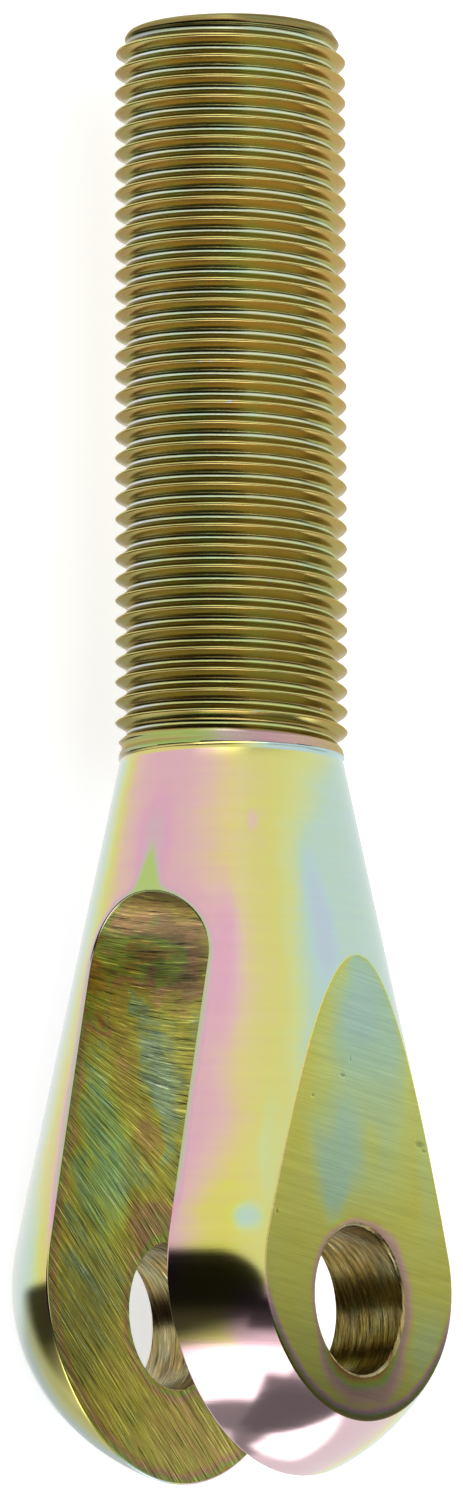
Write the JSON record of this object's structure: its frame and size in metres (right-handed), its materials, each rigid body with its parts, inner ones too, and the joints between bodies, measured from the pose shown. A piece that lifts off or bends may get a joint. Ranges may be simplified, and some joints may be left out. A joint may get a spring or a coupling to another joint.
{
  "type": "clevis rod end",
  "caption": "One-piece steel clevis with a male left-hand threaded shank, a conical slotted fork with parallel flats, and a cross bore for the clevis pin.",
  "frame": {"origin": "centre of the pin bore, midway between the two cheeks", "axes": "+X up the shank to its threaded end, +Z along the pin bore and square to the flats, slot open along Y and towards -X; the part lies on its lower flat"},
  "size_m": [0.0996, 0.0284, 0.0212],
  "materials": {
    "plated_steel": "yellow chromated zinc over turned and milled steel, satin, with pink, yellow and blue-green tints"
  },
  "bodies": {
    "root": {"clevis_rod_end": "plated_steel"}
  },
  "joints": []
}
